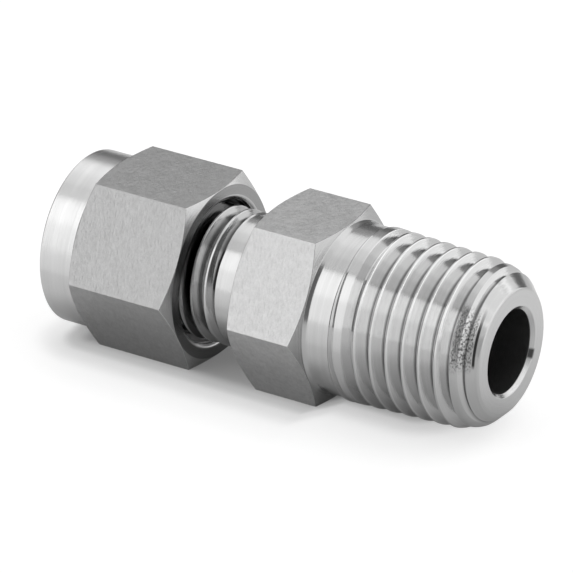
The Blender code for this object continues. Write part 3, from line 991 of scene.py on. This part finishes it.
def make_groups():
    """The effects that the steels share."""
    place_on_fitting = place_on_fitting_group()
    return {
        "place": place_on_fitting,
        "rings": turning_marks_group(place_on_fitting),
        "grain": machined_grain_group(place_on_fitting),
        "crest_and_root_light": crest_highlight_and_root_shade_group(place_on_fitting),
        "torn": torn_turn_and_step_shade_group(place_on_fitting),
        "painted_marks": painted_light_marks_group(place_on_fitting),
    }


def steel(name, tone):
    """A bare steel material, with the tree and shader that its finish is built on."""
    material = bpy.data.materials.new(name)
    material.use_nodes = True
    tree = material.node_tree
    shader = tree.nodes["Principled BSDF"]
    shader.inputs["Base Color"].default_value = grey(tone)
    shader.inputs["Metallic"].default_value = 1
    return material, tree, shader


def varied(tree, amount, tone, varies):
    """A grey that goes from a share below its tone to the same share above it."""
    return mixed(tree, amount, grey(tone * (1 - varies)), grey(tone * (1 + varies)))


def covered(tree, colour, mask, cover, tone):
    """A colour with a grey laid over it where a mask says, as far as its cover goes."""
    return mixed(tree, maths(tree, "MULTIPLY", mask, cover), colour, grey(tone))


def give_finish(tree, shader, colour, gloss, roughnesses, height, depth):
    """Feeds a steel's colour, its roughness from dull to glossy, and its grain's height."""
    tree.links.new(colour, shader.inputs["Base Color"])
    tree.links.new(ranged(tree, gloss, 0.0, 1.0, *roughnesses), shader.inputs["Roughness"])
    bump = tree.nodes.new("ShaderNodeBump")
    bump.inputs["Distance"].default_value = depth
    tree.links.new(height, bump.inputs["Height"])
    tree.links.new(bump.outputs["Normal"], shader.inputs["Normal"])


def flat_steel(name, groups, tone, roughness):
    """A hex flat: satin, with a fine grain across the axis and faint clouds."""
    material, tree, shader = steel(name, tone)
    grain = place(tree, groups["grain"], Grains_per_mm=5.0, Streak=0.45)
    tint = mean(tree, grain["Cloud"], grain["Tone"])
    give_finish(
        tree,
        shader,
        varied(tree, tint, tone, FLAT_TONE_VARIES),
        grain["Cloud"],
        (roughness - ROUGHNESS_VARIES, roughness + ROUGHNESS_VARIES),
        grain["Height"],
        FLAT_GRAIN_DEPTH,
    )
    return material


def turned_steel(name, groups, tone, roughness, depth, with_painted_light=False):
    """A turned surface: bright, with fine rings, and with lines of painted shade and highlight
    and a patch of painted dark reflection where it is given them.
    """
    material, tree, shader = steel(name, tone)
    rings = place(tree, groups["rings"], Rings_per_mm=9.0, Wander=1.2)
    colour = varied(tree, rings["Tone"], tone, TURNED_TONE_VARIES)
    # lines of painted shade and highlight at the thread's run-out, and painted dark reflection on
    # the bore's bevel
    if with_painted_light:
        painted_marks = place(tree, groups["painted_marks"])
        for label, painted_tone in PAINTED_LIGHT_TONES.items():
            colour = mixed(tree, painted_marks[label], colour, grey(painted_tone))
    give_finish(
        tree,
        shader,
        colour,
        rings["Tone"],
        (roughness + ROUGHNESS_VARIES, roughness - ROUGHNESS_VARIES),
        rings["Height"],
        depth,
    )
    return material


def thread_steel(name, groups, tone, roughness, crest_radius, taper, depth, mouth_shade_rings=()):
    """A cut thread: bright flanks, crests with a painted highlight and roots with painted shade.

    Each ring of painted shade at the mouth of the nut is a fade in and a fade out along the axis.
    """
    material, tree, shader = steel(name, tone)
    rings = place(tree, groups["rings"], Rings_per_mm=12.0, Wander=2.5)
    crest_and_root_light = place(
        tree,
        groups["crest_and_root_light"],
        Crest_Radius=crest_radius / MM,
        Taper=taper,
        Depth=depth / MM,
    )
    torn = place(tree, groups["torn"])
    # the crests get a painted highlight and the roots painted shade
    crest_highlight_tone = min(tone * CREST_HIGHLIGHT_GAIN, BRIGHTEST_CREST_HIGHLIGHT)
    colour = varied(tree, rings["Tone"], tone, THREAD_TONE_VARIES)
    colour = mixed(tree, crest_and_root_light["Crest"], colour, grey(crest_highlight_tone))
    colour = covered(tree, colour, crest_and_root_light["Root"], ROOT_SHADE_COVER, ROOT_SHADE_TONE)
    colour = covered(tree, colour, torn["Torn"], TORN_COVER, TORN_TONE)
    where = place(tree, groups["place"])
    # painted shade in rings at the mouth of the nut
    for fades in mouth_shade_rings:
        mouth_shade_ring = between(tree, where["Along"], *fades)
        colour = covered(tree, colour, mouth_shade_ring, NUT_MOUTH_SHADE_COVER, NUT_MOUTH_SHADE_TONE)
    give_finish(
        tree,
        shader,
        colour,
        rings["Tone"],
        (roughness + THREAD_ROUGHNESS_VARIES, roughness - THREAD_ROUGHNESS_VARIES),
        maths(tree, "MULTIPLY_ADD", torn["Height"], TORN_DEPTH_RATIO, rings["Height"]),
        THREAD_RING_DEPTH,
    )
    return material


def pipe_end_steel(name, groups, tone, roughness):
    """The turned end of the pipe thread, with the torn turn and a line of painted shade where the
    thread's groove steps out on the chamfer.
    """
    material, tree, shader = steel(name, tone)
    rings = place(tree, groups["rings"], Rings_per_mm=9.0, Wander=1.2)
    torn = place(tree, groups["torn"])
    # the torn turn, and a line of painted shade on the chamfer
    torn_dark = maths(tree, "MULTIPLY", torn["Torn"], END_TORN_COVER)
    torn_and_step_shade = maths(tree, "MAXIMUM", torn_dark, torn["Painted Shade"])
    colour = varied(tree, rings["Tone"], tone, TURNED_TONE_VARIES)
    give_finish(
        tree,
        shader,
        mixed(tree, torn_and_step_shade, colour, grey(END_TORN_AND_SHADE_TONE)),
        rings["Tone"],
        (roughness + ROUGHNESS_VARIES, roughness - ROUGHNESS_VARIES),
        maths(tree, "MULTIPLY_ADD", torn["Height"], TORN_DEPTH_RATIO, rings["Height"]),
        THREAD_RING_DEPTH,
    )
    return material


def make_steels():
    """The finishes of the body, the nut and the ferrules, one for each zone.

    Each steel has its tone and roughness, and a turned one the depth of its rings.
    """
    groups = make_groups()
    bore = turned_steel("bored_steel", groups, 0.40, 0.32, COARSE_RING_DEPTH)
    tube_thread = thread_steel(
        "straight_thread_steel",
        groups,
        tone=0.54,
        roughness=0.12,
        crest_radius=TUBE_CREST_RADIUS,
        taper=0.0,
        depth=TUBE_CREST_RADIUS - TUBE_ROOT_RADIUS - TUBE_ROOT_SHADE_RISE,
        mouth_shade_rings=NUT_MOUTH_SHADE_RINGS,
    )
    pipe_thread = thread_steel(
        "pipe_thread_steel",
        groups,
        tone=0.70,
        roughness=0.10,
        crest_radius=PIPE_CREST_RADIUS,
        taper=PIPE_TAPER_SLOPE,
        depth=PIPE_DEPTH_SHARE * PIPE_PITCH,
    )
    shank = turned_steel("turned_steel", groups, 0.62, 0.20, FINE_RING_DEPTH, with_painted_light=True)
    body = {
        FLAT: flat_steel("body_flat_steel", groups, 0.66, 0.36),
        TURNED: shank,
        THREAD: pipe_thread,
        BORE: bore,
        TUBE_THREAD: tube_thread,
        PIPE_END: pipe_end_steel("pipe_end_steel", groups, 0.58, 0.16),
        CHAMFER: turned_steel("chamfer_steel", groups, 0.56, 0.18, FINE_RING_DEPTH),
    }
    nut = {
        FLAT: flat_steel("nut_flat_steel", groups, 0.52, 0.37),
        TURNED: turned_steel("collar_steel", groups, 0.72, 0.24, COARSE_RING_DEPTH),
        THREAD: tube_thread,
        BORE: bore,
        NUT_FACE: turned_steel("nut_face_steel", groups, 0.36, 0.22, COARSE_RING_DEPTH),
        NUT_RIM: turned_steel("nut_rim_steel", groups, 0.62, 0.26, FINE_RING_DEPTH),
        CHAMFER: turned_steel("nut_chamfer_steel", groups, 0.66, 0.24, FINE_RING_DEPTH),
    }
    ferrule = {zone: shank for zone in range(ZONE_COUNT)}
    return [
        [finishes[zone] for zone in range(ZONE_COUNT)] for finishes in (body, nut, ferrule)
    ]


def distance_from_fitting(tree, point):
    """How far a point of the floor lies from where the fitting rests or hangs over it."""
    past_pipe_end = maths(tree, "SUBTRACT", point["X"], PIPE_END_REACH)
    past_tube_end = maths(tree, "SUBTRACT", TUBE_END_REACH, point["X"])
    past_end = maths(tree, "MAXIMUM", past_pipe_end, past_tube_end)
    foot = ranged(
        tree,
        point["X"],
        HEX_FOOT_END + HEX_FOOT_FADE,
        HEX_FOOT_END - HEX_FOOT_FADE,
        0.0,
        HEX_FOOT,
    )
    beside = maths(tree, "SUBTRACT", maths(tree, "ABSOLUTE", point["Y"]), foot)
    return root_of_squares(
        tree,
        maths(tree, "MAXIMUM", past_end, 0.0),
        maths(tree, "MAXIMUM", beside, 0.0),
    )


def dimmer_behind(tree, point):
    """The share of the mirrored white that is left behind the fitting and past its shank."""
    behind = ranged(tree, point["Y"], *DIM_BEHIND, 1.0, DIMMED_SHARE)
    past_shank = ranged(tree, point["X"], *DIM_PAST_SHANK, 1.0, DIMMED_SHARE)
    in_front = ranged(tree, point["Y"], *FULL_IN_FRONT)
    return maths(tree, "MULTIPLY", behind, maths(tree, "MAXIMUM", past_shank, in_front))


def floor_white(tree):
    """How white the floor is of itself, as the lens sees it and as the metal mirrors it; the glow
    fades close to the fitting, as painted shade.
    """
    rays = tree.nodes.new("ShaderNodeLightPath").outputs
    point = place_on_object(tree)
    # the glow fades close to the fitting, which paints shade round it
    distance = distance_from_fitting(tree, point)
    seen = maths(
        tree,
        "MULTIPLY",
        rays["Is Camera Ray"],
        curve(tree, distance, SEEN_REACH, SEEN_WHITE),
    )
    mirrored = maths(
        tree,
        "MULTIPLY",
        maths(tree, "ADD", rays["Is Glossy Ray"], rays["Is Transmission Ray"]),
        curve(tree, distance, MIRRORED_REACH, MIRRORED_WHITE),
    )
    mirrored = maths(tree, "MULTIPLY", mirrored, dimmer_behind(tree, point))
    return maths(tree, "MAXIMUM", seen, mirrored)


def make_floor():
    """A white floor that looks white to the lens and in the metal, and keeps the shadow, deepened
    by painted shade where its glow fades close to the fitting.
    """
    bpy.ops.mesh.primitive_plane_add(size=FLOOR_SIZE)
    floor = bpy.context.object
    floor.name = "floor"
    material = bpy.data.materials.new("white_floor")
    material.use_nodes = True
    tree = material.node_tree
    shader = tree.nodes["Principled BSDF"]
    shader.inputs["Base Color"].default_value = grey(FLOOR_TONE)
    shader.inputs["Roughness"].default_value = FLOOR_ROUGHNESS
    shader.inputs["Specular IOR Level"].default_value = 0
    shader.inputs["Emission Color"].default_value = grey(1)
    tree.links.new(floor_white(tree), shader.inputs["Emission Strength"])
    floor.data.materials.append(material)


def make_world():
    """An even white light from all sides."""
    world = bpy.data.worlds.new("studio")
    world.use_nodes = True
    background = world.node_tree.nodes["Background"]
    background.inputs["Color"].default_value = grey(1)
    background.inputs["Strength"].default_value = ROOM_LIGHT
    bpy.context.scene.world = world


def softbox(name, spot, target, size, radiance):
    """An area light of a given radiance that faces a point."""
    light = bpy.data.lights.new(name, "AREA")
    light.shape = "RECTANGLE"
    light.size, light.size_y = size
    light.energy = radiance * math.pi * size[0] * size[1]
    lamp = bpy.data.objects.new(name, light)
    lamp.location = spot
    lamp.rotation_euler = (Vector(spot) - Vector(target)).to_track_quat("Z", "Y").to_euler()
    lamp.visible_camera = False
    bpy.context.scene.collection.objects.link(lamp)


def make_camera():
    """A camera at the photograph's view, aimed from a mark on the axis at the nut's collar."""
    back = Vector(
        (
            math.sin(VIEW_AZIMUTH) * math.cos(VIEW_ELEVATION),
            -math.cos(VIEW_AZIMUTH) * math.cos(VIEW_ELEVATION),
            math.sin(VIEW_ELEVATION),
        )
    )
    level = Vector((math.cos(VIEW_AZIMUTH), math.sin(VIEW_AZIMUTH), 0))
    upright = back.cross(level)
    right = math.cos(VIEW_ROLL) * level + math.sin(VIEW_ROLL) * upright
    up = math.cos(VIEW_ROLL) * upright - math.sin(VIEW_ROLL) * level
    mark = Vector((NUT_MARK_ALONG, 0, AXIS_HEIGHT))
    aim = mark + AIM_RIGHT_OF_MARK * right - AIM_BELOW_MARK * up
    lens = bpy.data.cameras.new("camera")
    lens.sensor_width = SENSOR_WIDTH
    lens.lens = PIXELS_PER_MM / MM * VIEW_DISTANCE / PHOTO_PIXELS * SENSOR_WIDTH
    lens.clip_start = NEAREST_SEEN
    camera = bpy.data.objects.new("camera", lens)
    matrix = Matrix((right, up, back)).transposed().to_4x4()
    matrix.translation = aim + back * VIEW_DISTANCE
    camera.matrix_world = matrix
    bpy.context.scene.collection.objects.link(camera)
    bpy.context.scene.camera = camera


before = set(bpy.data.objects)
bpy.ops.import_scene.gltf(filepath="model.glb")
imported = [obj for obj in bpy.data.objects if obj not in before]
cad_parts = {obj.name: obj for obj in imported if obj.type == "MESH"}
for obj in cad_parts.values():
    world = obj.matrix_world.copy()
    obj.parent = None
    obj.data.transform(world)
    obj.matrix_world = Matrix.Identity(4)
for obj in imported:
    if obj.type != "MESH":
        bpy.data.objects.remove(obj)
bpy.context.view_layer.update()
bpy.context.scene.view_settings.view_transform = "Standard"
body_steels, nut_steels, ferrule_steels = make_steels()
make_body(body_steels)
make_nut(nut_steels)
make_ferrules(ferrule_steels)
make_floor()
make_world()
for box in SOFTBOXES:
    softbox(*box)
make_camera()
